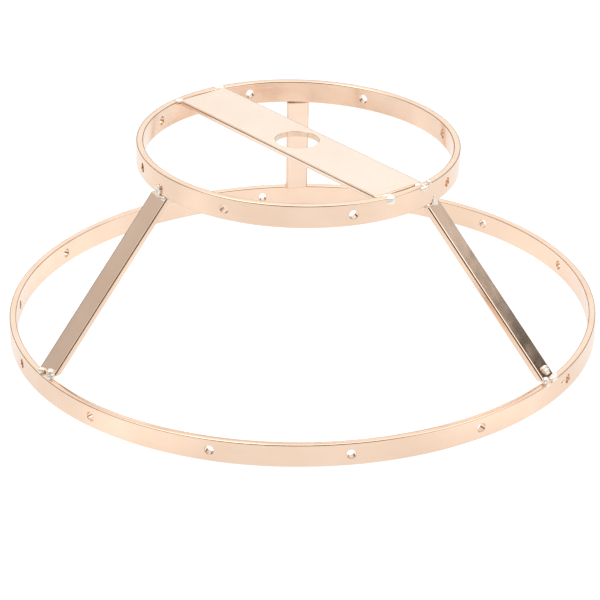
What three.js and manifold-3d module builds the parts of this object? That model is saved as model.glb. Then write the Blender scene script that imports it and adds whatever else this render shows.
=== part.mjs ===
// Two-tier wreath frame welded from flat bar: a large lower ring and a small upper
// ring, both standing on edge, three leaning struts between them, and a flat strap
// with a centre hole across the upper ring. Millimetres, +Z up. The origin is the
// centre of the lower ring, at the level of the surface the frame stands on.
import * as THREE from 'three';
import * as BufferGeometryUtils from 'three/addons/utils/BufferGeometryUtils.js';
import Module from 'manifold-3d';

const wasm = await Module();
wasm.setup();

// Bar stock
const BAR_WIDTH = 11.8;
const BAR_THICKNESS = 3.5;
const EDGE_CHAMFER = 0.65; // stands for the rolled, rounded edges
const WELD_GAP = 0.3; // clearance between a bar and whatever is welded to it

// Rings, measured over their outer faces
const LOWER_RADIUS = 150;
const UPPER_RADIUS = 81;
const RISE = 90.6; // lower edge of the upper ring above the table, at its centre
const UPPER_SHIFT_X = -1.6; // the upper ring was welded slightly off centre ...
const UPPER_TILT = THREE.MathUtils.degToRad(1.84); // ... with its -X side high
const LOWER_SEGMENTS = 112;
const UPPER_SEGMENTS = 80;

// Drilled holes, evenly spaced at mid height of each ring (azimuths in degrees)
const DRILL_DIAMETER = 4.5;
const DRILL_SEGMENTS = 14;
const LOWER_HOLE_COUNT = 14;
const LOWER_HOLE_START = 278.6;
const UPPER_HOLE_COUNT = 8;
const UPPER_HOLE_START = 288.9;

// Closing welds of the two rings: a filled groove across the inner face
const LOWER_SEAM_AZIMUTH = 233;
const UPPER_SEAM_AZIMUTH = 165;
const SEAM_WIDTH = 2;
const SEAM_DEPTH = 1;
const SEAM_CROWN = 0.25;

// Strap across the top of the upper ring
const STRAP_WIDTH = 30;
const STRAP_THICKNESS = 3;
const STRAP_HALF_LENGTH = 76.4; // straight ends, trimmed at the corners to the ring's inner face
const STRAP_END_STEPS = 12;
const STRAP_CHAMFER = 0.5;
const STRAP_AZIMUTH = 310;
const STRAP_OFFSET = 1; // its centre line lies this far to the -X -Y side of the ring's centre
const STRAP_HOLE_DIAMETER = 22;
const STRAP_HOLE_SEGMENTS = 48;

// Struts: where the foot and head sit around the rings and which way the flat faces
const STRUTS = [
  { name: 'left', foot: 211.6, head: 213.6, facing: 218.6 },
  { name: 'right', foot: 324.3, head: 324.3, facing: 330.8 },
  { name: 'back', foot: 91.2, head: 90.2, facing: 97 },
];
const FOOT_OVERLAP = 1; // how far the foot's outer face laps over the lower ring's rim

const METAL = { color: 0xecc6a6, metalness: 1, roughness: 0.22 };
const WELD_METAL = { color: 0xdcc0a4, metalness: 1, roughness: 0.3 };

const radians = THREE.MathUtils.degToRad;

// Closed mesh -> manifold solid
function toSolid(geometry, matrix = new THREE.Matrix4()) {
  const bare = geometry.clone().applyMatrix4(matrix);
  bare.deleteAttribute('normal');
  bare.deleteAttribute('uv');
  const merged = BufferGeometryUtils.mergeVertices(bare, 1e-4);
  const mesh = new wasm.Mesh({
    numProp: 3,
    vertProperties: new Float32Array(merged.attributes.position.array),
    triVerts: new Uint32Array(merged.index.array),
  });
  return new wasm.Manifold(mesh);
}

// Manifold solid -> named mesh
function toMesh(name, solid, look) {
  const { vertProperties, triVerts } = solid.getMesh();
  const geometry = new THREE.BufferGeometry();
  geometry.setAttribute('position', new THREE.BufferAttribute(new Float32Array(vertProperties), 3));
  geometry.setIndex(new THREE.BufferAttribute(new Uint32Array(triVerts), 1));
  geometry.computeVertexNormals();
  const mesh = new THREE.Mesh(geometry, new THREE.MeshStandardMaterial(look));
  mesh.name = name;
  return mesh;
}

// Point at an azimuth (degrees), radius and height
function polar(azimuth, radius, z) {
  const a = radians(azimuth);
  return new THREE.Vector3(radius * Math.cos(a), radius * Math.sin(a), z);
}

// Frame whose +X points outward along an azimuth, +Y along the ring and +Z up
function outwardFrame(azimuth, origin) {
  const turn = new THREE.Matrix4().makeRotationZ(radians(azimuth));
  return turn.setPosition(origin);
}

// Rectangular section with chamfered corners, closed on itself, for a lathed ring
function barSection(radius, grow, chamfer) {
  const inner = radius - BAR_THICKNESS - grow;
  const outer = radius + grow;
  const low = -grow;
  const high = BAR_WIDTH + grow;
  const c = chamfer;
  const corners = [
    [inner + c, low], [outer - c, low], [outer, low + c], [outer, high - c],
    [outer - c, high], [inner + c, high], [inner, high - c], [inner, low + c], [inner + c, low],
  ];
  return corners.map(([r, z]) => new THREE.Vector2(r, z));
}

// Flat bar bent to a ring on edge, its lower edge at z = 0
function bentRing(radius, segments, grow = 0, chamfer = EDGE_CHAMFER) {
  const lathe = new THREE.LatheGeometry(barSection(radius, grow, chamfer), segments);
  return toSolid(lathe, new THREE.Matrix4().makeRotationX(Math.PI / 2));
}

// Radial drill through the ring wall at mid height
function drill(radius, azimuth) {
  const length = 3 * BAR_THICKNESS;
  const bit = new THREE.CylinderGeometry(DRILL_DIAMETER / 2, DRILL_DIAMETER / 2, length, DRILL_SEGMENTS);
  bit.rotateZ(Math.PI / 2);
  const wallMiddle = polar(azimuth, radius - BAR_THICKNESS / 2, BAR_WIDTH / 2);
  return toSolid(bit, outwardFrame(azimuth, wallMiddle));
}

// Prism with a triangular or crowned section, standing on the inner face of a ring
function seamPrism(radius, azimuth, points, height, bottom) {
  const shape = new THREE.Shape(points.map(([x, y]) => new THREE.Vector2(x, y)));
  const prism = new THREE.ExtrudeGeometry(shape, { depth: height, bevelEnabled: false });
  return toSolid(prism, outwardFrame(azimuth, polar(azimuth, radius - BAR_THICKNESS, bottom)));
}

function seamGroove(radius, azimuth) {
  const half = SEAM_WIDTH / 2;
  const past = 1;
  const points = [[-past, -half], [0, -half], [SEAM_DEPTH, 0], [0, half], [-past, half]];
  return seamPrism(radius, azimuth, points, BAR_WIDTH + 2 * past, -past);
}

// Weld metal that fills the groove, a little proud of the inner face
function seamWeld(radius, azimuth) {
  const half = SEAM_WIDTH / 2 - WELD_GAP;
  const crest = SEAM_WIDTH / 4;
  const points = [
    [0, -half], [SEAM_DEPTH - 2 * WELD_GAP, 0], [0, half],
    [-SEAM_CROWN, crest], [-SEAM_CROWN, -crest],
  ];
  return seamPrism(radius, azimuth, points, BAR_WIDTH - 2 * EDGE_CHAMFER, EDGE_CHAMFER);
}

// A ring with its drilled holes and seam groove
function drilledRing(radius, segments, holeCount, holeStart, seamAzimuth) {
  let ring = bentRing(radius, segments);
  for (let i = 0; i < holeCount; i += 1) {
    ring = ring.subtract(drill(radius, holeStart + (360 / holeCount) * i));
  }
  return ring.subtract(seamGroove(radius, seamAzimuth));
}

// Placement of everything that belongs to the upper ring
const upperPlace = new THREE.Matrix4().makeRotationY(UPPER_TILT).setPosition(UPPER_SHIFT_X, 0, RISE);

// Strap frame: +X along the strap, +Z up, z = 0 at the strap's underside
function strapFrame() {
  const side = polar(STRAP_AZIMUTH - 90, STRAP_OFFSET, BAR_WIDTH - STRAP_THICKNESS);
  return new THREE.Matrix4().makeRotationZ(radians(STRAP_AZIMUTH)).setPosition(side);
}

// How far the strap reaches along X at a place across its width
function strapReach(y) {
  const clear = UPPER_RADIUS - BAR_THICKNESS - WELD_GAP;
  return Math.min(STRAP_HALF_LENGTH, Math.sqrt(clear ** 2 - (y - STRAP_OFFSET) ** 2));
}

function strapOutline() {
  const end = [];
  for (let i = 0; i <= STRAP_END_STEPS; i += 1) {
    const y = STRAP_WIDTH * (i / STRAP_END_STEPS - 0.5);
    end.push(new THREE.Vector2(strapReach(y), y));
  }
  const otherEnd = end.map(({ x, y }) => new THREE.Vector2(-x, y)).reverse();
  const outline = new THREE.Shape([...end, ...otherEnd]);
  const hole = new THREE.Path();
  hole.absarc(0, 0, STRAP_HOLE_DIAMETER / 2, 0, 2 * Math.PI, true);
  outline.holes.push(hole);
  return outline;
}

function crossStrap() {
  const plate = new THREE.ExtrudeGeometry(strapOutline(), {
    depth: STRAP_THICKNESS - 2 * STRAP_CHAMFER,
    curveSegments: STRAP_HOLE_SEGMENTS,
    bevelThickness: STRAP_CHAMFER,
    bevelSize: STRAP_CHAMFER,
    bevelOffset: -STRAP_CHAMFER,
    bevelSegments: 1,
  });
  plate.translate(0, 0, STRAP_CHAMFER);
  return toSolid(plate, strapFrame());
}

// Solid strap blank, grown on all sides, for clearing weld beads
function strapBlank(grow) {
  const size = [STRAP_HALF_LENGTH * 2, STRAP_WIDTH, STRAP_THICKNESS].map((v) => v + 2 * grow);
  const blank = new THREE.BoxGeometry(...size);
  blank.translate(0, 0, STRAP_THICKNESS / 2);
  return toSolid(blank, strapFrame());
}

// Strut frame: origin at the foot, +Z along the bar, +X out of its broad outer face
function strutFrame({ foot, head, facing }) {
  const footPoint = polar(foot, LOWER_RADIUS - BAR_THICKNESS + FOOT_OVERLAP, BAR_WIDTH);
  const headPoint = polar(head, UPPER_RADIUS, 0).applyMatrix4(upperPlace);
  const along = headPoint.clone().sub(footPoint).normalize();
  const outward = polar(facing, 1, 0);
  const across = along.clone().cross(outward).normalize();
  const normal = across.clone().cross(along).normalize();
  const frame = new THREE.Matrix4().makeBasis(normal, across, along).setPosition(footPoint);
  return { frame, length: headPoint.distanceTo(footPoint) };
}

// Section of the straight bar: thickness along X, width along Y, chamfered corners
function flatSection(thickness, width) {
  const x = thickness / 2;
  const y = width / 2;
  const c = EDGE_CHAMFER;
  const quarter = [[x, y - c], [x - c, y]];
  const half = [...quarter, ...quarter.map(([px, py]) => [-px, py]).reverse()];
  const corners = [...half, ...half.map(([px, py]) => [-px, -py])];
  return new THREE.Shape(corners.map(([px, py]) => new THREE.Vector2(px, py)));
}

// Straight flat bar, longer than needed at both ends
function strutBlank(strut, grow, spare) {
  const { frame, length } = strutFrame(strut);
  const section = flatSection(BAR_THICKNESS + 2 * grow, BAR_WIDTH + 2 * grow);
  const blank = new THREE.ExtrudeGeometry(section, { depth: length + 2 * spare, bevelEnabled: false });
  blank.translate(-BAR_THICKNESS / 2, 0, -spare);
  return toSolid(blank, frame);
}

// Space between the rim of the lower ring and the lower edge of the upper ring
function clearSpace(grow) {
  const span = 2 * LOWER_RADIUS;
  const slab = new THREE.BoxGeometry(span, span, RISE * 2);
  slab.translate(0, 0, RISE + BAR_WIDTH - grow + WELD_GAP);
  const under = new THREE.BoxGeometry(span, span, RISE * 2);
  under.translate(0, 0, -RISE + grow - WELD_GAP);
  return toSolid(slab).intersect(toSolid(under, upperPlace));
}

// Strut cut off level on the lower rim and along the upper ring's lower edge
function strutBar(strut, grow = 0) {
  const spare = 3 * BAR_THICKNESS;
  return strutBlank(strut, grow, spare).intersect(clearSpace(grow));
}

// Weld bead: an egg of weld metal, size given outward, across and upward
function beadBlank(place, [outward, across, up]) {
  const egg = new THREE.SphereGeometry(1, 12, 8);
  egg.rotateX(Math.PI / 2);
  egg.scale(outward, across, up);
  return toSolid(egg, place);
}

// The largest piece of a solid, because a cut can leave loose crumbs
function largestPiece(solid) {
  const pieces = solid.decompose();
  return pieces.reduce((best, piece) => (piece.volume() > best.volume() ? piece : best));
}

// Everything that a bead is welded to, grown by the weld gap
function weldNeighbours() {
  const lower = bentRing(LOWER_RADIUS, LOWER_SEGMENTS, WELD_GAP);
  const upper = bentRing(UPPER_RADIUS, UPPER_SEGMENTS, WELD_GAP).transform(upperPlace.elements);
  const strap = strapBlank(WELD_GAP).transform(upperPlace.elements);
  const struts = STRUTS.map((strut) => strutBar(strut, WELD_GAP));
  return struts.reduce((all, bar) => all.add(bar), lower.add(upper).add(strap));
}

// Beads at one strut's foot, on the rim of the lower ring: [across, radius, height, size]
const FOOT_BEADS = {
  left: [
    [-2.6, 148.2, 12.7, [2.0, 1.7, 2.2]],
    [4.4, 146.9, 13.1, [2.6, 2.5, 3.3]],
  ],
  right: [
    [-5.2, 148.6, 12.5, [2.0, 2.1, 2.6]],
    [0.8, 144.8, 15.5, [2.2, 2.5, 2.4]],
    [1.9, 148.8, 12.0, [1.9, 3.2, 1.8]],
  ],
  back: [
    [-4.2, 147.6, 12.7, [2.2, 2.1, 2.6]],
    [4.0, 147.6, 12.7, [2.2, 2.2, 2.6]],
  ],
};

// Beads at one strut's head, on the outer face of the upper ring: [across, radius, height, size]
const HEAD_BEADS = {
  left: [
    [-0.7, 81.4, 2.0, [1.5, 2.3, 3.0]],
    [3.4, 81.0, -0.7, [1.5, 1.6, 1.7]],
  ],
  right: [
    [-4.8, 81.0, -0.3, [1.4, 1.4, 1.8]],
    [0.6, 81.4, -0.3, [1.7, 3.4, 4.3]],
  ],
  back: [
    [-3.6, 81.4, 0.5, [1.4, 2.0, 2.6]],
    [3.6, 81.4, 0.5, [1.4, 2.0, 2.6]],
  ],
};

// Beads between the strap's corners and the upper ring: [name, azimuth, radius, height, size]
const STRAP_BEADS = [
  ['front_a', 303.0, 80.2, 10.0, [2.3, 3.4, 2.6]],
  ['front_b', 318.6, 80.4, 10.3, [2.0, 3.2, 1.7]],
  ['front_c', 321.8, 79.9, 11.7, [1.6, 1.5, 1.4]],
  ['rear_a', 121.6, 78.8, 11.8, [2.2, 3.0, 1.3]],
  ['rear_b', 141.8, 77.6, 11.8, [2.2, 2.4, 1.3]],
];

const group = new THREE.Group();
const neighbours = weldNeighbours();

function addNode(name, solid, look) {
  group.add(toMesh(name, solid, look));
}

function addBead(name, place, size) {
  const bead = beadBlank(place, size).subtract(neighbours);
  addNode(name, largestPiece(bead), WELD_METAL);
}

// Beads of one strut end, lettered in order around the ring
function addEndBeads(end, strut, azimuth, beads, host) {
  beads.forEach(([across, radius, height, size], i) => {
    const turned = azimuth + THREE.MathUtils.radToDeg(across / radius);
    const place = host.clone().multiply(outwardFrame(turned, polar(turned, radius, height)));
    addBead(`weld_${strut.name}_${end}_${'abc'[i]}`, place, size);
  });
}

const lowerRing = drilledRing(
  LOWER_RADIUS, LOWER_SEGMENTS, LOWER_HOLE_COUNT, LOWER_HOLE_START, LOWER_SEAM_AZIMUTH,
);
const upperRing = drilledRing(
  UPPER_RADIUS, UPPER_SEGMENTS, UPPER_HOLE_COUNT, UPPER_HOLE_START, UPPER_SEAM_AZIMUTH,
);
const upperMatrix = upperPlace.elements;

addNode('lower_ring', lowerRing, METAL);
addNode('upper_ring', upperRing.transform(upperMatrix), METAL);
addNode('cross_strap', crossStrap().transform(upperMatrix), METAL);
addNode('seam_weld_lower', seamWeld(LOWER_RADIUS, LOWER_SEAM_AZIMUTH), WELD_METAL);
addNode('seam_weld_upper', seamWeld(UPPER_RADIUS, UPPER_SEAM_AZIMUTH).transform(upperMatrix), WELD_METAL);
STRUTS.forEach((strut) => {
  addNode(`strut_${strut.name}`, strutBar(strut), METAL);
  addEndBeads('foot', strut, strut.foot, FOOT_BEADS[strut.name], new THREE.Matrix4());
  addEndBeads('head', strut, strut.head, HEAD_BEADS[strut.name], upperPlace);
});
STRAP_BEADS.forEach(([name, azimuth, radius, height, size]) => {
  const place = upperPlace.clone().multiply(outwardFrame(azimuth, polar(azimuth, radius, height)));
  addBead(`weld_strap_${name}`, place, size);
});

export default group;
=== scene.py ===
"""Looks for the two-tier wreath frame: polished rose-gold flat bar, drilled rings and weld beads."""
import math

import bmesh
import bpy
from mathutils import Matrix, Vector, noise


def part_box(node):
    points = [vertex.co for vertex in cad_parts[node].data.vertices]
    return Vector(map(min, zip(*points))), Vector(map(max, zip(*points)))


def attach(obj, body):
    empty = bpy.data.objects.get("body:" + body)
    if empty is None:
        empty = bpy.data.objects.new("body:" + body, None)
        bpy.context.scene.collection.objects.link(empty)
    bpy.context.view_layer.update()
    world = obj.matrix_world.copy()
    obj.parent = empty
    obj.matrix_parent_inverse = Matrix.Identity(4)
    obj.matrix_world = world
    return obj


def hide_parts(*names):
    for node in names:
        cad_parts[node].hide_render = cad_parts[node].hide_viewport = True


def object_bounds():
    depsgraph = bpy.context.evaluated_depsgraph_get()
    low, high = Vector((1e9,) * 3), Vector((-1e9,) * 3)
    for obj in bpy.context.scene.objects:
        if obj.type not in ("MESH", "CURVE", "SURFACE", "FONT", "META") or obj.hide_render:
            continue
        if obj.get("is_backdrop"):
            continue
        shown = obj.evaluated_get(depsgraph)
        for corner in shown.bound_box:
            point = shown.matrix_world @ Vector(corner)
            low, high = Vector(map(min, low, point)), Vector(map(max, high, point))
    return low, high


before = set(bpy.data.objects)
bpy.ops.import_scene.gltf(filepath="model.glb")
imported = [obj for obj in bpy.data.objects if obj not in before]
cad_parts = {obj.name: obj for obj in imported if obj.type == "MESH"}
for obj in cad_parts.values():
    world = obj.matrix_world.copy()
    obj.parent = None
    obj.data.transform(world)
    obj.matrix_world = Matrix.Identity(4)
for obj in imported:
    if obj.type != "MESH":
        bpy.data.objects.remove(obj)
cad_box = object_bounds()

MM = 0.001

# Driving sizes of the frame, in metres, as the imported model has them
RING_LOW, RING_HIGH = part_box("lower_ring")
LOWER_RADIUS = (RING_HIGH.x - RING_LOW.x) / 2
BAR_WIDTH = RING_HIGH.z - RING_LOW.z
BAR_THICKNESS = 3.5 * MM
UPPER_RADIUS = 81 * MM
RISE = 90.6 * MM
UPPER_SHIFT_X = -1.6 * MM
UPPER_TILT = math.radians(1.84)
CLEARANCE = 0.3 * MM  # gap that the model keeps between a bar and a ring

# Rounding of edges
SHARP = math.radians(40)  # an edge that turns more than this is rounded
EDGE_SEGMENTS = 6
STRUT_ROUND = 1.0 * MM
RIM_ROUND = 0.65 * MM  # upper edges of the rings
FOOT_ROUND = 0.35 * MM  # lower edges of the rings
CROWN = 0.12 * MM  # rise of the middle of a rolled edge over its sides

# How far hand-bent and drilled work strays
RING_SAG = 0.12 * MM
STRUT_BOW = 0.10 * MM
STRUT_CUP = 0.02 * MM
HOLE_UNEVEN = 0.03  # share of the hole's radius

# Drilled holes
HOLE_RADIUS = 2.25 * MM
HOLE_LIP = 0.3 * MM
LOWER_HOLES = {"count": 14, "start": 278.6}
UPPER_HOLES = {"count": 8, "start": 288.9}

# Strap
STRAP_WIDTH = 30 * MM
STRAP_THICKNESS = 3 * MM
STRAP_AZIMUTH = 310
STRAP_OFFSET = 1 * MM
STRAP_HOLE_RADIUS = 11 * MM
STRAP_HALF_LENGTH = 76.4 * MM
STRAP_CLEAR = UPPER_RADIUS - BAR_THICKNESS - CLEARANCE
STRAP_ROUND = 1.0 * MM
STRAP_HOLE_ROUND = 0.25 * MM
STRAP_HOLE_ZONE = 1.2 * STRAP_HOLE_RADIUS  # what lies nearer the centre belongs to the hole

# Struts: azimuth of the foot and head, and the way the broad face looks, in degrees
STRUTS = {
    "left": {"foot": 211.6, "head": 213.6, "facing": 218.6},
    "right": {"foot": 324.3, "head": 324.3, "facing": 330.8},
    "back": {"foot": 91.2, "head": 90.2, "facing": 97.0},
}
FOOT_REACH = 1 * MM  # how far the foot's axis stands out over the ring's inner face
FOOT_RADIUS = LOWER_RADIUS - BAR_THICKNESS + FOOT_REACH

# Azimuths of the closing welds
LOWER_SEAM = 233
UPPER_SEAM = 165

# Starting points of the smooth noise. Each strut and its beads take theirs from the length of
# the strut's name, so the left and back ones wander alike.
LOWER_RING_SEED = 1
UPPER_RING_SEED = 21
STRAP_SEED = 40
STRAP_BEAD_SEED = 60
LOWER_SEAM_SEED = 81
UPPER_SEAM_SEED = 82

UPPER_PLACE = Matrix.Translation((UPPER_SHIFT_X, 0, RISE)) @ Matrix.Rotation(UPPER_TILT, 4, "Y")


# ---------------------------------------------------------------- placing and mesh helpers
def polar(azimuth, radius, z=0.0):
    a = math.radians(azimuth)
    return Vector((radius * math.cos(a), radius * math.sin(a), z))


def outward_frame(azimuth, radius, z):
    """+X points outward along the azimuth, +Y along the ring, +Z up."""
    return Matrix.Translation(polar(azimuth, radius, z)) @ Matrix.Rotation(math.radians(azimuth), 4, "Z")


def new_object(name, verts, faces, place=None):
    mesh = bpy.data.meshes.new(name)
    mesh.from_pydata([tuple(v) for v in verts], [], faces)
    mesh.validate()
    bm = bmesh.new()
    bm.from_mesh(mesh)
    bmesh.ops.recalc_face_normals(bm, faces=bm.faces)
    bm.to_mesh(mesh)
    bm.free()
    mesh.shade_smooth()
    obj = bpy.data.objects.new(name, mesh)
    if place is not None:
        obj.matrix_world = place
    bpy.context.scene.collection.objects.link(obj)
    return obj


def soften_edges(obj, width_at):
    """Rounds each sharp edge by its own width; the rounded strip takes the second material, whose darker
    tone is painted shade.

    width_at gives the width for the middle point of an edge, in the object's frame."""
    bm = bmesh.new()
    bm.from_mesh(obj.data)
    weight = bm.edges.layers.float.new("bevel_weight_edge")
    widths = {}
    for edge in bm.edges:
        if len(edge.link_faces) == 2 and edge.calc_face_angle() > SHARP:
            widths[edge] = width_at((edge.verts[0].co + edge.verts[1].co) / 2)
    widest = max(widths.values())
    for edge, width in widths.items():
        edge[weight] = width / widest
    bm.to_mesh(obj.data)
    bm.free()
    bevel = obj.modifiers.new("edges", "BEVEL")
    bevel.width = widest
    bevel.segments = EDGE_SEGMENTS
    bevel.limit_method = "WEIGHT"
    bevel.harden_normals = True
    bevel.material = 1


def finish_piece(obj, node, materials):
    for material in materials:
        obj.data.materials.append(material)
    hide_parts(node)
    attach(obj, "root")


def wander(seed, point, scale):
    """Smooth noise from -1 to 1, the same on each run."""
    return noise.noise(Vector(point) * scale + Vector((seed * 17.3, seed * 5.1, seed * 9.7)))


# ---------------------------------------------------------------- rings
HOLE_SIDE_STEPS = 8  # mesh steps along each side of the square patch round a hole
PATCH_LOOPS = (0.0, 0.3, 0.58, 0.8, 1.0)  # from the square to the hole's edge
RING_GAP_STEPS = 22  # mesh steps along the plain wall between two holes
FULL_TURN = round(2 * math.pi, 6)


def side_rows(half):
    """Heights of the mesh rows across a square patch."""
    return [-half + 2 * half * i / HOLE_SIDE_STEPS for i in range(HOLE_SIDE_STEPS + 1)]


def square_loop(half):
    """Corners and side points of a square round the origin, counter-clockwise from (+,-)."""
    steps = side_rows(half)[:-1]
    right = [(half, s) for s in steps]
    top = [(-s, half) for s in steps]
    left = [(-half, -s) for s in steps]
    bottom = [(s, -half) for s in steps]
    return right + top + left + bottom


def hole_loops(half, radius, seed):
    """Loops of points that turn a square patch into a slightly uneven round hole."""
    square = square_loop(half)
    count = len(square)
    loops = []
    for share in PATCH_LOOPS:
        loop = []
        for i, (x, y) in enumerate(square):
            angle = -math.pi / 4 + 2 * math.pi * i / count
            uneven = 1 + HOLE_UNEVEN * wander(seed, (math.cos(angle), math.sin(angle), 0), scale=1.7)
            cx = radius * uneven * math.cos(angle)
            cy = radius * uneven * math.sin(angle)
            loop.append((x + (cx - x) * share, y + (cy - y) * share))
        loops.append(loop)
    return loops


def ring_mesh(radius, holes, seed):
    """A flat bar bent on edge: square-edged here, with a clean patch of quads round each hole."""
    half = BAR_WIDTH / 2
    patch_angle = half / radius
    sector = 2 * math.pi / holes["count"]
    start = math.radians(holes["start"])
    verts, faces, index = [], [], {}

    def vertex(angle, depth, height):
        key = (round(angle % (2 * math.pi), 6) % FULL_TURN, round(depth, 7), round(height, 7))
        if key not in index:
            sag = RING_SAG * wander(seed, (math.cos(angle), math.sin(angle), 0), scale=1.3)
            r = radius - depth - RING_SAG + sag
            on_edge = abs(abs(height) - half) < 1e-6
            at_side = abs(depth - BAR_THICKNESS / 2) > BAR_THICKNESS / 4
            drop = math.copysign(CROWN, height) if on_edge and at_side else 0
            verts.append((r * math.cos(angle), r * math.sin(angle), half + height - drop))
            index[key] = len(verts) - 1
        return index[key]

    rows = side_rows(half)
    depths = (0.0, BAR_THICKNESS / 2, BAR_THICKNESS)
    for k in range(holes["count"]):
        centre = start + sector * k
        low = centre + patch_angle
        high = centre + sector - patch_angle
        gap = [low + (high - low) * i / RING_GAP_STEPS for i in range(RING_GAP_STEPS + 1)]
        patch = [centre + r / radius for r in rows]
        # plain wall between two holes, on both faces
        for a, b in zip(gap, gap[1:]):
            for depth in (depths[0], depths[-1]):
                for z0, z1 in zip(rows, rows[1:]):
                    quad = ((a, z0), (b, z0), (b, z1), (a, z1))
                    faces.append([vertex(angle, depth, z) for angle, z in quad])
        # top and bottom edges all the way round
        for a, b in list(zip(gap, gap[1:])) + list(zip(patch, patch[1:])):
            for z in (-half, half):
                for d0, d1 in zip(depths, depths[1:]):
                    quad = ((a, d0), (b, d0), (b, d1), (a, d1))
                    faces.append([vertex(angle, depth, z) for angle, depth in quad])
        # the hole
        loops = hole_loops(half, HOLE_RADIUS, seed + k)
        count = len(loops[0])
        for depth in (depths[0], depths[-1]):
            for outer, inner in zip(loops, loops[1:]):
                for i in range(count):
                    j = (i + 1) % count
                    quad = (outer[i], outer[j], inner[j], inner[i])
                    faces.append([vertex(centre + x / radius, depth, y) for x, y in quad])
        rim = loops[-1]
        for d0, d1 in zip(depths, depths[1:]):
            for i in range(count):
                j = (i + 1) % count
                quad = ((rim[i], d0), (rim[j], d0), (rim[j], d1), (rim[i], d1))
                faces.append([vertex(centre + x / radius, d, y) for (x, y), d in quad])
    return verts, faces


def make_ring(name, radius, holes, place, seed, materials):
    verts, faces = ring_mesh(radius, holes, seed)
    ring = new_object(name, verts, faces, place)

    def width_at(point):
        if abs(point.z - BAR_WIDTH / 2) < BAR_WIDTH / 2 - 2 * CROWN:
            return HOLE_LIP
        return RIM_ROUND if point.z > BAR_WIDTH / 2 else FOOT_ROUND

    soften_edges(ring, width_at)
    finish_piece(ring, name, materials)


# ---------------------------------------------------------------- struts
STRUT_STEPS = 40  # mesh steps along a strut
STRUT_WIDTH_STEPS = 6


def strut_place(strut):
    """Origin at the foot, +Z along the bar, +X out of the broad outer face."""
    foot = polar(strut["foot"], FOOT_RADIUS, BAR_WIDTH)
    head = UPPER_PLACE @ polar(strut["head"], UPPER_RADIUS)
    along = (head - foot).normalized()
    across = along.cross(polar(strut["facing"], 1)).normalized()
    out = across.cross(along).normalized()
    turn = Matrix((out, across, along)).transposed().to_4x4()
    return Matrix.Translation(foot) @ turn


def height_on(plane_point, plane_normal, x, y):
    """Height at which a line along Z through (x, y) meets a plane."""
    reach = plane_normal.dot(plane_point) - plane_normal.x * x - plane_normal.y * y
    return reach / plane_normal.z


def strut_mesh(place, seed):
    """Flat bar cut level at the foot and along the upper ring at the head, with a hand-made bow."""
    back = place.inverted()
    turn = back.to_3x3()
    foot = (back @ Vector((0, 0, BAR_WIDTH)), turn @ Vector((0, 0, 1)))
    head = (back @ UPPER_PLACE.translation, turn @ UPPER_PLACE.to_3x3() @ Vector((0, 0, 1)))
    shares = [i / STRUT_WIDTH_STEPS - 0.5 for i in range(STRUT_WIDTH_STEPS + 1)]
    section = [(0.0, BAR_WIDTH * share) for share in shares]
    section += [(-BAR_THICKNESS, -y) for _, y in section]
    verts, faces = [], []
    for s in range(STRUT_STEPS + 1):
        share = s / STRUT_STEPS
        bow = STRUT_BOW * wander(seed, (0, 0, share), scale=1.6)
        for x, y in section:
            low = height_on(*foot, x, y)
            high = height_on(*head, x, y)
            cup = STRUT_CUP * wander(seed + 3, (y / BAR_WIDTH, share * 3, 0), scale=1.5)
            verts.append((x + bow + cup, y, low + (high - low) * share))
    count = len(section)
    for s in range(STRUT_STEPS):
        for i in range(count):
            j = (i + 1) % count
            faces.append([s * count + i, s * count + j, (s + 1) * count + j, (s + 1) * count + i])
    faces.append(list(range(count)))
    faces.append([STRUT_STEPS * count + i for i in range(count)])
    return verts, faces


def make_strut(key, materials):
    name = "strut_" + key
    place = strut_place(STRUTS[key])
    verts, faces = strut_mesh(place, len(key))
    strut = new_object(name, verts, faces, place)
    soften_edges(strut, lambda point: STRUT_ROUND)
    finish_piece(strut, name, materials)


# ---------------------------------------------------------------- strap
STRAP_END_STEPS = 14  # mesh steps from the hole's patch to each end


def strap_reach(y):
    """Straight ends, trimmed at the corners to the inner face of the ring."""
    return min(STRAP_HALF_LENGTH, math.sqrt(STRAP_CLEAR**2 - (y - STRAP_OFFSET) ** 2))


def strap_mesh():
    """Flat plate with a round hole in the middle of a square patch of quads."""
    half = STRAP_WIDTH / 2
    loops = hole_loops(half, STRAP_HOLE_RADIUS, STRAP_SEED)
    verts, faces, index = [], [], {}

    def vertex(x, y, z):
        key = (round(x, 7), round(y, 7), round(z, 7))
        if key not in index:
            past_patch = max(0.0, abs(x) - half) / (STRAP_HALF_LENGTH - half)
            trim = (STRAP_HALF_LENGTH - strap_reach(y)) * past_patch
            verts.append((x - math.copysign(trim, x), y, z))
            index[key] = len(verts) - 1
        return index[key]

    rows = side_rows(half)
    arm = STRAP_HALF_LENGTH - half
    spans = []
    for side in (-1, 1):
        xs = [side * (half + arm * i / STRAP_END_STEPS) for i in range(STRAP_END_STEPS + 1)]
        spans += list(zip(xs, xs[1:]))
    for z in (0.0, STRAP_THICKNESS):
        for a, b in spans:
            for y0, y1 in zip(rows, rows[1:]):
                faces.append([vertex(*p, z) for p in ((a, y0), (b, y0), (b, y1), (a, y1))])
        for outer, inner in zip(loops, loops[1:]):
            for i in range(len(outer)):
                j = (i + 1) % len(outer)
                faces.append([vertex(*p, z) for p in (outer[i], outer[j], inner[j], inner[i])])
    rim = loops[-1]
    walls = [(rim[i], rim[(i + 1) % len(rim)]) for i in range(len(rim))]
    for y in (-half, half):
        walls += [((a, y), (b, y)) for a, b in spans + list(zip(rows, rows[1:]))]
    for x in (-STRAP_HALF_LENGTH, STRAP_HALF_LENGTH):
        walls += [((x, y0), (x, y1)) for y0, y1 in zip(rows, rows[1:])]
    top = STRAP_THICKNESS
    for a, b in walls:
        faces.append([vertex(*p, z) for p, z in ((a, 0.0), (b, 0.0), (b, top), (a, top))])
    return verts, faces


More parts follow.
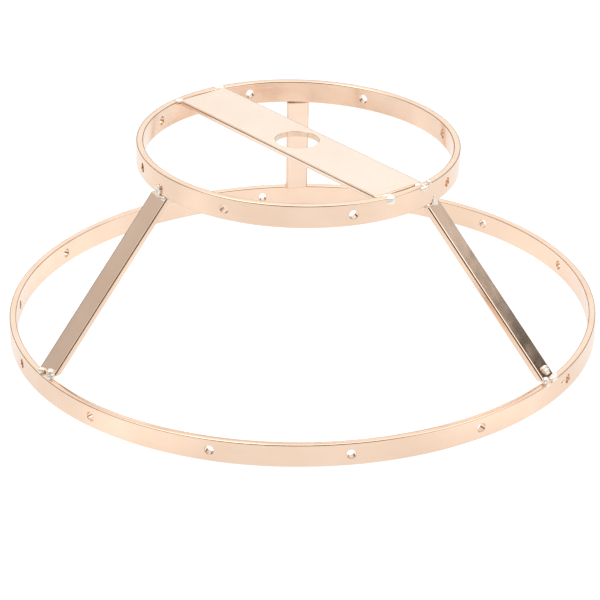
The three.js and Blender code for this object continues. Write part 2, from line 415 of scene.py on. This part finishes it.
def make_strap(materials):
    side = polar(STRAP_AZIMUTH - 90, STRAP_OFFSET, BAR_WIDTH - STRAP_THICKNESS)
    place = UPPER_PLACE @ Matrix.Translation(side) @ Matrix.Rotation(math.radians(STRAP_AZIMUTH), 4, "Z")
    verts, faces = strap_mesh()
    strap = new_object("cross_strap", verts, faces, place)
    # the hole's wall takes the darker edge material, its deeper tone painted shade for the dark that the
    # wall reflects
    for face in strap.data.polygons:
        upright = abs(face.normal.z) < 0.5
        in_hole = upright and face.center.xy.length < STRAP_HOLE_ZONE
        face.material_index = int(in_hole)

    def width_at(point):
        at_hole = math.hypot(point.x, point.y) < STRAP_HOLE_ZONE
        return STRAP_HOLE_ROUND if at_hole else STRAP_ROUND

    soften_edges(strap, width_at)
    finish_piece(strap, "cross_strap", materials)


# ---------------------------------------------------------------- weld metal
BEAD_GRAIN = 0.17 * MM  # size of the cells that run the eggs together
SEAM_GRAIN = 0.1 * MM
BROAD_RIPPLE = 0.16  # heights of the skin's ripples in mm
FINE_RIPPLE = 0.04
CRATER_EGGS = 18  # eggs in the raised rim of a crater

# Closing weld of a ring, sizes in mm
SEAM_LUMPS = 11  # eggs from the ring's lower edge to its upper one
SEAM_START = 0.95  # height of the lowest egg's middle
SEAM_OUT = 0.45  # middle of an egg, into the bar from the ring's inner face
SEAM_DRIFT = 0.15  # how far an egg strays along the ring
SEAM_DEPTH = 0.52  # half size of an egg, outward
SEAM_HALF_WIDTH = 0.34  # half size of an egg, along the ring
SEAM_SWELL = 0.1  # share of its drift that an egg grows by
SEAM_OVERLAP = 0.75  # half height of an egg, as a share of the step to the next


def lump(bm, centre, radii):
    """One egg of weld metal, still separate from its neighbours."""
    made = bmesh.ops.create_icosphere(bm, subdivisions=3, radius=1.0)
    for v in made["verts"]:
        v.co = Vector((centre[i] + v.co[i] * radii[i] for i in range(3)))


def weld_object(name, place, lumps, seed, grain=BEAD_GRAIN):
    """Eggs of weld metal run together into one bead, with a rippled skin. Sizes in mm."""
    bm = bmesh.new()
    for centre, radii in lumps:
        lump(bm, [c * MM for c in centre], [r * MM for r in radii])
    mesh = bpy.data.meshes.new(name)
    bm.to_mesh(mesh)
    bm.free()
    obj = bpy.data.objects.new(name, mesh)
    bpy.context.scene.collection.objects.link(obj)
    remesh = obj.modifiers.new("run_together", "REMESH")
    remesh.mode = "VOXEL"
    remesh.voxel_size = grain
    smooth = obj.modifiers.new("surface_tension", "SMOOTH")
    smooth.factor = 0.6
    smooth.iterations = 14
    apply_modifiers(obj)
    for v in obj.data.vertices:
        broad = wander(seed, v.co / MM, scale=0.5) * BROAD_RIPPLE
        fine = wander(seed + 5, v.co / MM, scale=1.6) * FINE_RIPPLE
        v.co += v.normal * (broad + fine) * MM
    obj.data.shade_smooth()
    obj.matrix_world = place
    return obj


def apply_modifiers(obj):
    graph = bpy.context.evaluated_depsgraph_get()
    done = bpy.data.meshes.new_from_object(obj.evaluated_get(graph))
    obj.modifiers.clear()
    old = obj.data
    obj.data = done
    bpy.data.meshes.remove(old)


def oval_rim(out, along, up, thickness):
    """Eggs side by side round an oval, for the raised rim of a crater."""
    eggs = []
    for i in range(CRATER_EGGS):
        a = 2 * math.pi * i / CRATER_EGGS
        eggs.append(((out, along * math.cos(a), up * math.sin(a)), (thickness,) * 3))
    return eggs


# Each bead: distance across the strut, radius and height of its middle in mm, and its eggs as
# (out, along, up) places and radii in mm
FOOT_BEADS = {
    "left": [
        (-2.6, 148.2, 12.7, [
            ((0, 0, 0), (1.9, 1.5, 1.9)),
            ((0.2, -1.0, -0.4), (1.5, 1.2, 1.4)),
        ]),
        (4.4, 146.9, 13.1, [
            ((0, -0.1, 0.6), (2.3, 2.2, 2.7)),
            ((0.3, 0.1, -0.5), (2.4, 2.5, 2.6)),
            ((0.6, 0.7, -1.4), (1.9, 2.0, 1.8)),
        ]),
    ],
    "right": [
        (-5.2, 148.6, 12.5, [
            ((-0.2, 0, 0.5), (1.8, 1.9, 2.1)),
            ((0.2, 0.3, -0.6), (1.9, 2.0, 1.9)),
        ]),
        (0.8, 144.8, 15.5, [
            ((-0.9, 0, 0.9), (1.1, 2.3, 1.3)),
            ((0.0, 0.1, -0.4), (1.2, 2.3, 1.3)),
            ((0.9, 0.2, -1.5), (1.0, 1.9, 0.8)),
        ]),
        (1.9, 148.8, 12.0, [
            ((0, -1.9, 0), (1.6, 1.3, 1.4)),
            ((0.2, 0.2, -0.1), (1.6, 1.5, 1.6)),
            ((-0.2, 2.2, 0.1), (1.4, 1.2, 1.5)),
            ((1.05, 7.0, -5.7), (0.5, 0.6, 0.8)),
            ((0.95, 8.2, -5.2), (0.45, 0.5, 0.7)),
        ]),
    ],
    "back": [
        (-4.2, 147.6, 12.7, [((0, 0, 0), (2.0, 2.0, 2.3)), ((0.2, 0.9, -0.6), (1.5, 1.4, 1.5))]),
        (4.0, 147.6, 12.7, [((0, 0, 0), (2.0, 2.0, 2.4)), ((0.2, -1.0, -0.6), (1.6, 1.4, 1.4))]),
    ],
}
HEAD_BEADS = {
    "left": [
        (-0.7, 81.4, 2.0, oval_rim(0.1, 1.75, 2.6, 0.7) + [
            ((-0.8, 0, -0.2), (0.75, 2.3, 3.2)),
            ((-0.2, 0, 0), (0.5, 0.6, 1.0)),
            ((-0.5, -0.5, -2.9), (1.2, 2.4, 1.7)),
        ]),
        (3.4, 81.0, -0.7, [
            ((0, -0.9, 0), (1.0, 1.8, 1.0)),
            ((0.1, 0.5, -0.1), (1.1, 1.4, 1.3)),
        ]),
    ],
    "right": [
        (-4.8, 81.0, -0.3, [((0, 0.1, 0), (1.1, 1.5, 1.2)), ((0.1, 0.9, -0.5), (1.0, 1.2, 1.1))]),
        (0.6, 81.4, -0.3, [
            ((-0.6, 0.3, 2.8), (0.7, 1.1, 1.5)),
            ((-0.5, 0.2, 1.3), (0.8, 2.0, 2.0)),
            ((-0.4, 0.0, -0.4), (0.9, 2.8, 2.2)),
            ((-0.2, -0.1, -1.8), (1.1, 3.2, 2.0)),
            ((-0.1, -0.1, -2.6), (1.3, 3.2, 1.6)),
        ]),
    ],
    "back": [
        (-3.6, 81.4, 0.5, [((0, 0, 0), (1.3, 1.9, 2.5)), ((0.2, 0.6, -0.7), (1.1, 1.3, 1.5))]),
        (3.6, 81.4, 0.5, [((0, 0, 0), (1.3, 1.9, 2.5)), ((0.2, -0.6, -0.7), (1.1, 1.3, 1.5))]),
    ],
}
# The same for the strap's corners: azimuth, radius, height and eggs
STRAP_BEADS = {
    "front_a": (303.2, 80.2, 10.0, [
        ((0.2, 0, 0.5), (1.6, 3.3, 1.5)),
        ((0.5, 0, -0.6), (1.5, 3.0, 1.9)),
        ((-1.5, 0.3, 1.2), (1.6, 2.9, 0.9)),
        ((-2.2, -1.0, 1.3), (1.5, 3.2, 0.8)),
    ]),
    "front_b": (318.6, 80.4, 10.3, [
        ((0.2, -2.0, -0.1), (1.5, 1.2, 1.3)),
        ((0.3, 0, -0.2), (1.6, 1.5, 1.6)),
        ((0.1, 2.0, -0.2), (1.4, 1.2, 1.4)),
        ((-1.0, 0.6, 0.9), (1.1, 1.6, 0.8)),
        ((-2.2, -1.6, 1.5), (1.5, 2.4, 0.8)),
    ]),
    "front_c": (321.8, 79.9, 11.7, [
        ((0, 0, 0), (1.4, 1.3, 1.2)),
        ((-0.4, 0.5, -0.2), (1.0, 0.8, 0.8)),
    ]),
    "rear_a": (121.6, 78.8, 11.8, [
        ((0, 0, -0.2), (2.0, 2.9, 0.9)),
        ((-0.6, -1.2, -0.2), (1.6, 1.6, 0.8)),
    ]),
    "rear_b": (141.8, 77.6, 11.8, [
        ((0, 0, -0.2), (2.0, 2.3, 0.9)),
        ((0.9, 1.0, -0.2), (1.5, 1.3, 0.8)),
    ]),
}


def make_end_beads(key, end, beads, host, materials):
    for i, (across, radius, height, lumps) in enumerate(beads):
        azimuth = STRUTS[key][end] + math.degrees(across / radius)
        place = host @ outward_frame(azimuth, radius * MM, height * MM)
        name = f"weld_{key}_{end}_{'abc'[i]}"
        bead = weld_object(name + "_bead", place, lumps, 11 * len(key) + 3 * i + len(end))
        finish_piece(bead, name, materials)


def make_strap_beads(materials):
    for i, (name, (azimuth, radius, height, lumps)) in enumerate(STRAP_BEADS.items()):
        place = UPPER_PLACE @ outward_frame(azimuth, radius * MM, height * MM)
        bead = weld_object(f"weld_strap_{name}_bead", place, lumps, STRAP_BEAD_SEED + i)
        finish_piece(bead, "weld_strap_" + name, materials)


def make_seam(node, azimuth, radius, host, seed, materials):
    """Rippled closing weld, almost flush with the ring's inner face."""
    rise = (BAR_WIDTH / MM - 2 * SEAM_START) / (SEAM_LUMPS - 1)
    lumps = []
    for i in range(SEAM_LUMPS):
        drift = SEAM_DRIFT * wander(seed, (i, 0, 0), scale=0.7)
        centre = (SEAM_OUT, drift, SEAM_START + rise * i)
        radii = (SEAM_DEPTH, SEAM_HALF_WIDTH + SEAM_SWELL * drift, rise * SEAM_OVERLAP)
        lumps.append((centre, radii))
    place = host @ outward_frame(azimuth, radius - BAR_THICKNESS, 0)
    seam = weld_object(node + "_bead", place, lumps, seed, grain=SEAM_GRAIN)
    finish_piece(seam, node, materials)


# ---------------------------------------------------------------- materials
# Noise scales of the plate, per metre
CLOUD_SCALE = 28
SMUDGE_SCALE = 60
SWELL_SCALE = 75
GRAIN_SCALE = 2600
# Depths of the plate's bumps, in metres
SWELL_DEPTH = 0.0004
MARK_DEPTH = 0.00006
PIT_DEPTH = 0.00003
MARK_STRENGTH = 0.10
TONE_STOPS = (0.32, 0.5, 0.68)  # where the dark, middle and light tones sit
CLOUD_SHARE = 0.75  # of the tone, with the marks for the rest
SMUDGE_SHARE = 0.6  # of the gloss, with the marks for the rest
SMUDGE_RANGE = (0.35, 0.7)  # noise that gives no smudge, and a full one
GLOSS_RANGE = (0.1, 0.8)  # mix that gives the lowest roughness, and the highest


class Nodes:
    """Short hands for building a node tree."""

    def __init__(self, tree):
        self.tree = tree
        tree.nodes.clear()

    def add(self, kind, **settings):
        node = self.tree.nodes.new(kind)
        for key, value in settings.items():
            setattr(node, key, value)
        return node

    def link(self, source, target):
        self.tree.links.new(source, target)

    def noise(self, vector, scale, detail=2.0, rough=0.5):
        node = self.add("ShaderNodeTexNoise")
        node.inputs["Scale"].default_value = scale
        node.inputs["Detail"].default_value = detail
        node.inputs["Roughness"].default_value = rough
        self.link(vector, node.inputs["Vector"])
        return node.outputs["Fac"]

    def stretched(self, vector, scale):
        node = self.add("ShaderNodeMapping")
        node.inputs["Scale"].default_value = scale
        self.link(vector, node.inputs["Vector"])
        return node.outputs["Vector"]

    def fit(self, value, low, high, new_low, new_high, kind="LINEAR"):
        node = self.add("ShaderNodeMapRange", interpolation_type=kind)
        for name, v in zip(("From Min", "From Max", "To Min", "To Max"), (low, high, new_low, new_high)):
            node.inputs[name].default_value = v
        self.link(value, node.inputs["Value"])
        return node.outputs["Result"]

    def math(self, kind, a, b):
        node = self.add("ShaderNodeMath", operation=kind)
        for socket, value in zip(node.inputs, (a, b)):
            if isinstance(value, (int, float)):
                socket.default_value = value
            else:
                self.link(value, socket)
        return node.outputs["Value"]

    def blend(self, first, second, share):
        """share of the first value and the rest of the second."""
        parts = (self.math("MULTIPLY", first, share), self.math("MULTIPLY", second, 1 - share))
        return self.math("ADD", *parts)

    def ramp(self, value, stops):
        node = self.add("ShaderNodeValToRGB")
        ramp = node.color_ramp
        while len(ramp.elements) < len(stops):
            ramp.elements.new(0.5)
        for element, (place, colour) in zip(ramp.elements, stops):
            element.position = place
            element.color = (*colour, 1)
        self.link(value, node.inputs["Fac"])
        return node.outputs["Color"]

    def bump(self, height, strength, distance, normal=None):
        node = self.add("ShaderNodeBump")
        node.inputs["Strength"].default_value = strength
        node.inputs["Distance"].default_value = distance
        self.link(height, node.inputs["Height"])
        if normal is not None:
            self.link(normal, node.inputs["Normal"])
        return node.outputs["Normal"]


def plated_metal(name, tones, streaks, roughness, wave=0.25, pits=0.25):
    """Rose-gold plate: tone drifts slowly, rolling marks follow the bar, fine pits break the gloss.

    tones are the dark, middle and light plate colours; streaks stretches the rolling marks, long
    along the bar; roughness is its lowest and highest value; wave and pits are the strengths of
    the broad swell and of the fine pits."""
    material = bpy.data.materials.new(name)
    material.use_nodes = True
    n = Nodes(material.node_tree)
    place = n.add("ShaderNodeTexCoord").outputs["Object"]
    cloud = n.noise(place, CLOUD_SCALE, detail=3, rough=0.55)
    marks = n.noise(n.stretched(place, streaks), 1.0, detail=3, rough=0.6)
    grain = n.noise(place, GRAIN_SCALE, detail=2, rough=0.6)
    swell = n.noise(place, SWELL_SCALE, detail=1, rough=0.4)
    tone = n.blend(cloud, marks, CLOUD_SHARE)
    colour = n.ramp(tone, list(zip(TONE_STOPS, tones)))
    smudge = n.noise(place, SMUDGE_SCALE, detail=4, rough=0.6)
    smudge = n.fit(smudge, *SMUDGE_RANGE, 0.0, 1.0)
    gloss = n.blend(smudge, marks, SMUDGE_SHARE)
    rough = n.fit(gloss, *GLOSS_RANGE, *roughness)
    normal = n.bump(swell, wave, SWELL_DEPTH)
    normal = n.bump(marks, MARK_STRENGTH, MARK_DEPTH, normal)
    normal = n.bump(grain, pits, PIT_DEPTH, normal)
    shader = n.add("ShaderNodeBsdfPrincipled")
    shader.inputs["Metallic"].default_value = 1.0
    n.link(colour, shader.inputs["Base Color"])
    n.link(rough, shader.inputs["Roughness"])
    n.link(normal, shader.inputs["Normal"])
    n.link(shader.outputs["BSDF"], n.add("ShaderNodeOutputMaterial").inputs["Surface"])
    return material


# Opal sheet that the frame stands on: its glow, and the lamps under it (x, y, reach, extra glow)
LIGHT_TABLE = 0.92
TABLE_HALF = 4.0
TABLE_PATCHES = 5.5  # noise scale of the sheet's unevenness
TABLE_RANGE = (0.3, 0.7)  # noise at its darkest and lightest patches
LAMPS = [
    (-0.105, -0.145, 0.075, 0.24),
    (0.125, -0.135, 0.075, 0.26),
    (-0.27, -0.12, 0.12, 0.15),
    (0.27, -0.12, 0.12, 0.1),
    (-0.13, 0.08, 0.08, 0.23),
    (0.13, 0.08, 0.08, 0.18),
    (0.0, 0.10, 0.13, 0.15),
    (0.0, -0.105, 0.055, 0.26),
]


def floor_material():
    material = bpy.data.materials.new("opal_light_table")
    material.use_nodes = True
    n = Nodes(material.node_tree)
    place = n.add("ShaderNodeTexCoord").outputs["Object"]
    patchy = n.noise(place, TABLE_PATCHES, detail=1)
    greys = ((0.1, 0.1, 0.1), (0.13, 0.13, 0.13))
    tone = n.ramp(patchy, list(zip(TABLE_RANGE, greys)))
    glow = n.fit(patchy, *TABLE_RANGE, LIGHT_TABLE - 0.01, LIGHT_TABLE + 0.02)
    for x, y, reach, extra in LAMPS:
        away = n.add("ShaderNodeVectorMath", operation="DISTANCE")
        n.link(place, away.inputs[0])
        away.inputs[1].default_value = (x, y, 0)
        lamp = n.fit(away.outputs["Value"], 0, reach, extra, 0, "SMOOTHSTEP")
        glow = n.math("ADD", glow, lamp)
    shader = n.add("ShaderNodeBsdfPrincipled")
    shader.inputs["Roughness"].default_value = 0.9
    shader.inputs["Emission Color"].default_value = (1, 1, 1, 1)
    n.link(tone, shader.inputs["Base Color"])
    n.link(glow, shader.inputs["Emission Strength"])
    n.link(shader.outputs["BSDF"], n.add("ShaderNodeOutputMaterial").inputs["Surface"])
    return material


# ---------------------------------------------------------------- studio
CAMERA_DISTANCE = 1.2507
CAMERA_HEIGHT = 0.63235
CAMERA_PITCH = 0.45993
CAMERA_YAW = -0.00094
CAMERA_ROLL = -0.0078
CAMERA_LENS = 163.09


def make_camera():
    data = bpy.data.cameras.new("camera")
    data.lens = CAMERA_LENS
    data.sensor_width = 36
    data.clip_end = 20
    camera = bpy.data.objects.new("camera", data)
    forward = Vector((
        math.sin(CAMERA_YAW) * math.cos(CAMERA_PITCH),
        math.cos(CAMERA_YAW) * math.cos(CAMERA_PITCH),
        -math.sin(CAMERA_PITCH),
    ))
    level = Vector((math.cos(CAMERA_YAW), -math.sin(CAMERA_YAW), 0))
    upright = level.cross(forward)
    right = level * math.cos(CAMERA_ROLL) + upright * math.sin(CAMERA_ROLL)
    up = upright * math.cos(CAMERA_ROLL) - level * math.sin(CAMERA_ROLL)
    turn = Matrix((right, up, -forward)).transposed().to_4x4()
    camera.matrix_world = Matrix.Translation((0, -CAMERA_DISTANCE, CAMERA_HEIGHT)) @ turn
    bpy.context.scene.collection.objects.link(camera)
    bpy.context.scene.camera = camera


def make_floor():
    half = TABLE_HALF
    verts = [(-half, -half, 0), (half, -half, 0), (half, half, 0), (-half, half, 0)]
    floor = new_object("floor", verts, [[0, 1, 2, 3]])
    floor.data.materials.append(floor_material())
    floor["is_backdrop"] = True


# The room as soft patches of the world: direction, full and faded angle in degrees, brightness
ROOM = 1.1
ROOM_COLOUR = (1.0, 0.985, 0.97, 1)
ROOM_PATCHES = [
    ((0, 0.9, 0.44), 16, 40, 1.25),  # lit paper behind
    ((-0.977, 0.12, 0.174), 8, 33, 0.66),  # grey wall to the left
    ((0.79, 0.56, 0.25), 8, 35, 0.8),  # grey wall to the right, behind
    ((0, -0.93, 0.36), 25, 42, 0.1),  # unlit side of the room, in front
    ((0.69, -0.20, 0.69), 12, 24, 2.2),  # softbox high on the right
    ((-0.45, -0.20, 0.87), 12, 24, 2.6),  # softbox high on the left
]
# Below the walls the room is dark all round, lowest behind to the right
DARK = 0.07
DARK_SLOPE = (0.0573, 0.0402, 1.0)
DARK_EDGE = (0.298, 0.327)


def make_world():
    world = bpy.data.worlds.new("studio")
    world.use_nodes = True
    n = Nodes(world.node_tree)
    direction = n.add("ShaderNodeTexCoord").outputs["Generated"]

    def towards(vector):
        dot = n.add("ShaderNodeVectorMath", operation="DOT_PRODUCT")
        n.link(direction, dot.inputs[0])
        dot.inputs[1].default_value = vector
        return dot.outputs["Value"]

    def mixed(amount, low, high, start, end):
        """start below low, end above high, smooth between."""
        mask = n.fit(amount, low, high, 0, 1, "SMOOTHSTEP")
        mix = n.add("ShaderNodeMix", data_type="FLOAT")
        n.link(mask, mix.inputs["Factor"])
        for name, value in (("A", start), ("B", end)):
            if isinstance(value, float):
                mix.inputs[name].default_value = value
            else:
                n.link(value, mix.inputs[name])
        return mix.outputs["Result"]

    light = ROOM
    for vector, full, faded, value in ROOM_PATCHES:
        amount = towards(Vector(vector).normalized())
        edge, core = math.cos(math.radians(faded)), math.cos(math.radians(full))
        light = mixed(amount, edge, core, light, value)
    light = mixed(towards(DARK_SLOPE), *DARK_EDGE, DARK, light)
    background = n.add("ShaderNodeBackground")
    background.inputs["Color"].default_value = ROOM_COLOUR
    n.link(light, background.inputs["Strength"])
    n.link(background.outputs["Background"], n.add("ShaderNodeOutputWorld").inputs["Surface"])
    bpy.context.scene.world = world


def area_light(name, place, target, size, power):
    data = bpy.data.lights.new(name, "AREA")
    data.shape = "DISK"
    data.size = size
    data.energy = power
    light = bpy.data.objects.new(name, data)
    light.location = place
    light.rotation_euler = (Vector(target) - Vector(place)).to_track_quat("-Z", "Y").to_euler()
    bpy.context.scene.collection.objects.link(light)


def make_studio():
    make_camera()
    make_floor()
    make_world()
    area_light("overhead", place=(0.0, 0.1, 1.8), target=(0, 0, 0), size=1.4, power=5.3)
    bpy.context.scene.view_settings.view_transform = "Standard"


# ---------------------------------------------------------------- the object
ROSE = ((0.795, 0.585, 0.445), (0.825, 0.62, 0.48), (0.855, 0.665, 0.53))
# Strap: a paler copy of the rose plate, the extra paleness painted highlight for the strap's brightly
# lit top face
PALE_PAINTED_HIGHLIGHT_ROSE = ((0.89, 0.75, 0.64), (0.91, 0.775, 0.665), (0.93, 0.80, 0.70))
# Rounded edges and the strap's hole wall: a darker rose whose deeper tone is painted shade, standing in
# for the dark room these edges reflect
EDGE_PAINTED_SHADE_ROSE = ((0.70, 0.50, 0.37), (0.78, 0.58, 0.44), (0.85, 0.66, 0.53))
# Weld beads: a near-white rose whose paleness is painted highlight, standing in for the bright glint on
# the bead domes
WELD_PAINTED_HIGHLIGHT_ROSE = ((0.91, 0.80, 0.70), (0.95, 0.87, 0.79), (0.97, 0.92, 0.86))


# Stretch of the rolling marks: slow along the bar, fast across it
ALONG_MARKS = 9
ACROSS_MARKS = 1900
RING_MARKS = (ALONG_MARKS, ALONG_MARKS, ACROSS_MARKS)
STRUT_MARKS = (ACROSS_MARKS, ACROSS_MARKS, ALONG_MARKS)
STRAP_MARKS = (ALONG_MARKS, ACROSS_MARKS, ACROSS_MARKS)
WELD_MARKS = (60, 60, 900)


def make_object():
    # edge plate: its darker tones are painted shade for the dark lines reflected along the rounded edges
    edge = plated_metal("edge_plate_painted_shade", EDGE_PAINTED_SHADE_ROSE, RING_MARKS, (0.12, 0.24), wave=0.1, pits=0.15)
    ring = plated_metal("ring_plate", ROSE, RING_MARKS, (0.10, 0.26))
    strut = plated_metal("strut_plate", ROSE, STRUT_MARKS, (0.04, 0.12))
    # strap plate: its paler tones are painted highlight
    strap = plated_metal("strap_plate_painted_highlight", PALE_PAINTED_HIGHLIGHT_ROSE, STRAP_MARKS, (0.24, 0.34), wave=0.12, pits=0.08)
    # weld plate: its pale, almost white tones are painted highlight
    weld = plated_metal("weld_bead_painted_highlight", WELD_PAINTED_HIGHLIGHT_ROSE, WELD_MARKS, (0.46, 0.58), wave=0.15, pits=0.04)
    ring_look, strut_look, strap_look, weld_look = [ring, edge], [strut, edge], [strap, edge], [weld]
    level = Matrix.Identity(4)
    make_ring("lower_ring", LOWER_RADIUS, LOWER_HOLES, level, LOWER_RING_SEED, ring_look)
    make_ring("upper_ring", UPPER_RADIUS, UPPER_HOLES, UPPER_PLACE, UPPER_RING_SEED, ring_look)
    make_strap(strap_look)
    for key in STRUTS:
        make_strut(key, strut_look)
        make_end_beads(key, "foot", FOOT_BEADS[key], level, weld_look)
        make_end_beads(key, "head", HEAD_BEADS[key], UPPER_PLACE, weld_look)
    make_strap_beads(weld_look)
    make_seam("seam_weld_lower", LOWER_SEAM, LOWER_RADIUS, level, LOWER_SEAM_SEED, weld_look)
    make_seam("seam_weld_upper", UPPER_SEAM, UPPER_RADIUS, UPPER_PLACE, UPPER_SEAM_SEED, weld_look)


make_studio()
make_object()

boxes = {"cad": cad_box, "visual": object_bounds()}
{k: [list(map(float, corner)) for corner in box] for k, box in boxes.items()}
